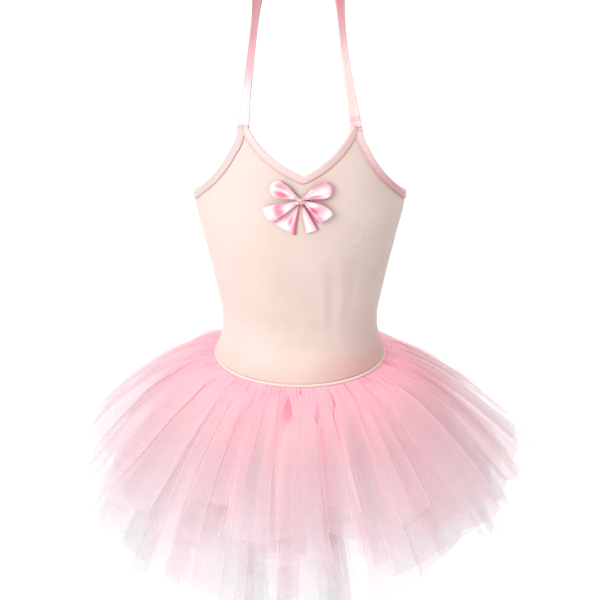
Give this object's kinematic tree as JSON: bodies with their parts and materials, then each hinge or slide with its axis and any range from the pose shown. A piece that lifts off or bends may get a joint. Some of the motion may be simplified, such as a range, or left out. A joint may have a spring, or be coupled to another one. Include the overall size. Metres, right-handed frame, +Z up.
{
  "type": "ballet tutu",
  "caption": "Child's ballet tutu: camisole bodice with V neck, thin ribbon straps and a satin bow, and a layered gathered tulle skirt, filled out as worn.",
  "frame": {"origin": "on the wearer's shoulders, midway between the tops of the two straps", "axes": "+Z up, the front faces -Y, +X is the wearer's left"},
  "size_m": [0.4991, 0.4598, 0.6197],
  "materials": {
    "bodice_knit": "smooth matt stretch knit",
    "satin_binding": "soft satin fold-over binding",
    "satin_strap": "satin ribbon",
    "tulle": "sheer nylon tulle",
    "bow_satin": "glossy satin ribbon"
  },
  "bodies": {
    "root": {"bodice_front": "bodice_knit", "bodice_back": "bodice_knit", "binding_neck_front": "satin_binding", "binding_neck_back": "satin_binding", "binding_armhole_left": "satin_binding", "binding_armhole_right": "satin_binding", "strap_left": "satin_strap", "strap_right": "satin_strap", "skirt_top_layer": "tulle", "skirt_middle_layer": "tulle", "skirt_bottom_layer": "tulle", "bow_knot": "bow_satin", "bow_loop_upper_left": "bow_satin", "bow_loop_upper_right": "bow_satin", "bow_loop_lower_left": "bow_satin", "bow_loop_lower_right": "bow_satin", "bow_tail_left": "bow_satin", "bow_tail_right": "bow_satin"}
  },
  "joints": []
}
